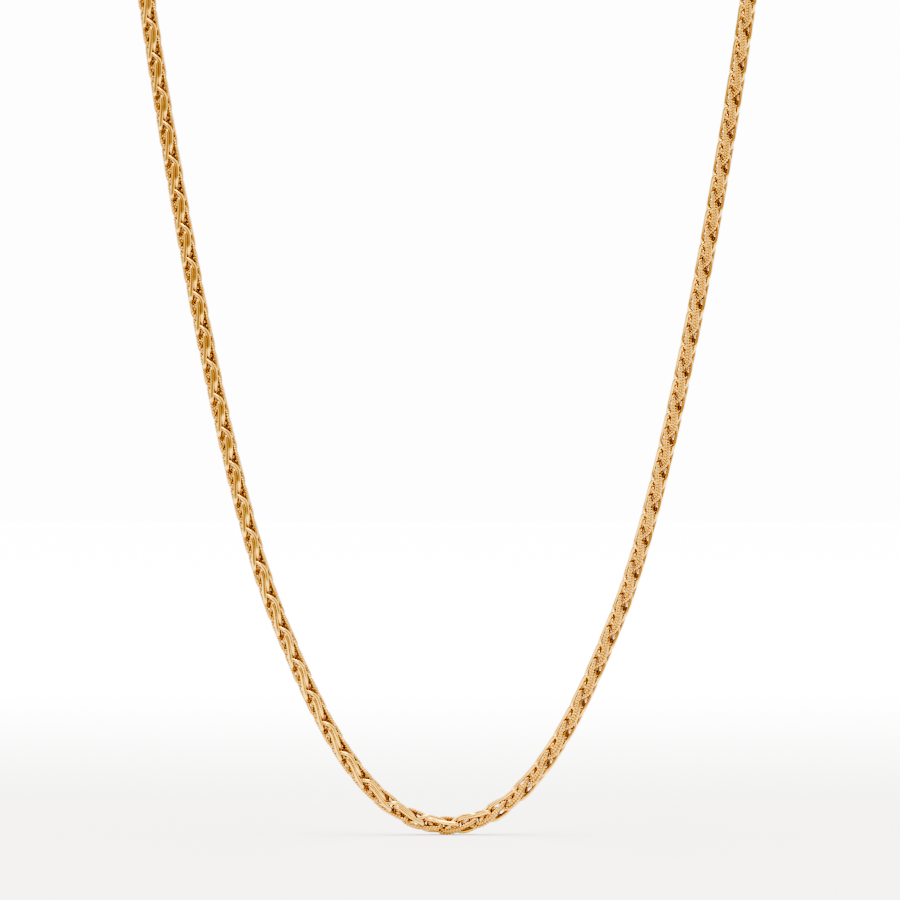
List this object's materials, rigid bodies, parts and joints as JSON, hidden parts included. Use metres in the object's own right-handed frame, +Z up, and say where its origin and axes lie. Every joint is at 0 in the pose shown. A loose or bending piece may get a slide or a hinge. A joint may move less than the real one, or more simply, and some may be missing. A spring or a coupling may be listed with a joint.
{
  "type": "braided chain necklace",
  "caption": "Braided chain necklace of plain and rope-wire links, a whole loop with cupped ends joined by a ring clasp.",
  "frame": {"origin": "middle of the clasp at the nape, where the loop lies on the back of the neck", "axes": "+Z up, +Y from the hanging front back towards the nape, +X along the clasp from the left strand to the right one as seen from the front"},
  "size_m": [0.0996, 0.0368, 0.1676],
  "materials": {
    "polished_gold": "polished",
    "rope_gold": "polished twisted wire",
    "cap_gold": "polished",
    "clasp_gold": "polished"
  },
  "bodies": {
    "root": {"plain_links": "polished_gold", "rope_links": "rope_gold", "end_cap_left": "cap_gold", "end_cap_right": "cap_gold", "clasp": "clasp_gold"}
  },
  "joints": []
}
